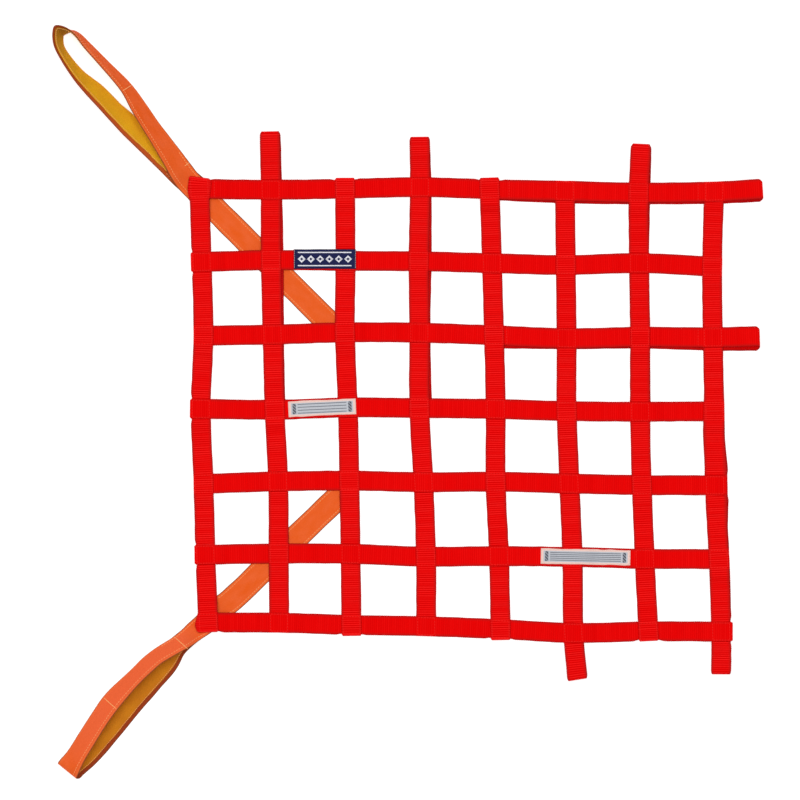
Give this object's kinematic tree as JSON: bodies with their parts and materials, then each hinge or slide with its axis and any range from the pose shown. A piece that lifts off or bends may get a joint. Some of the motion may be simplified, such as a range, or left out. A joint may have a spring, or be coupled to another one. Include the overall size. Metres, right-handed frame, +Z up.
{
  "type": "racing window net",
  "caption": "Window net of red webbing woven over and under, with rod loops on three sides, two pull handles at the corners and small sewn tags.",
  "frame": {"origin": "middle of the whole outline in plan, at the surface that the net lies on", "axes": "+X along the cross straps, from the handle side to the rod-loop side; +Y along the uprights, towards the edge with three rod loops; +Z up out of the net's face"},
  "size_m": [0.7107, 0.7524, 0.0251],
  "materials": {
    "webbing": "ribbed red webbing",
    "handle_cover": "smooth orange webbing with two stitch lines",
    "handle_lining": "ochre pile",
    "woven_tag": "navy woven tag with a whipped edge",
    "pale_tag": "pale blank tag with a thin border"
  },
  "bodies": {
    "root": {"strap_v1": "webbing", "strap_v2": "webbing", "strap_v3": "webbing", "strap_v4": "webbing", "strap_v5": "webbing", "strap_v6": "webbing", "strap_v7": "webbing", "strap_v8": "webbing", "strap_h1": "webbing", "strap_h2": "webbing", "strap_h3": "webbing", "strap_h4": "webbing", "strap_h5": "webbing", "strap_h6": "webbing", "strap_h7": "webbing", "upper_handle_cover": "handle_cover", "upper_handle_lining": "handle_lining", "lower_handle_cover": "handle_cover", "lower_handle_lining": "handle_lining", "woven_tag": "woven_tag", "write_on_tag": "pale_tag", "long_tag": "pale_tag"}
  },
  "joints": []
}
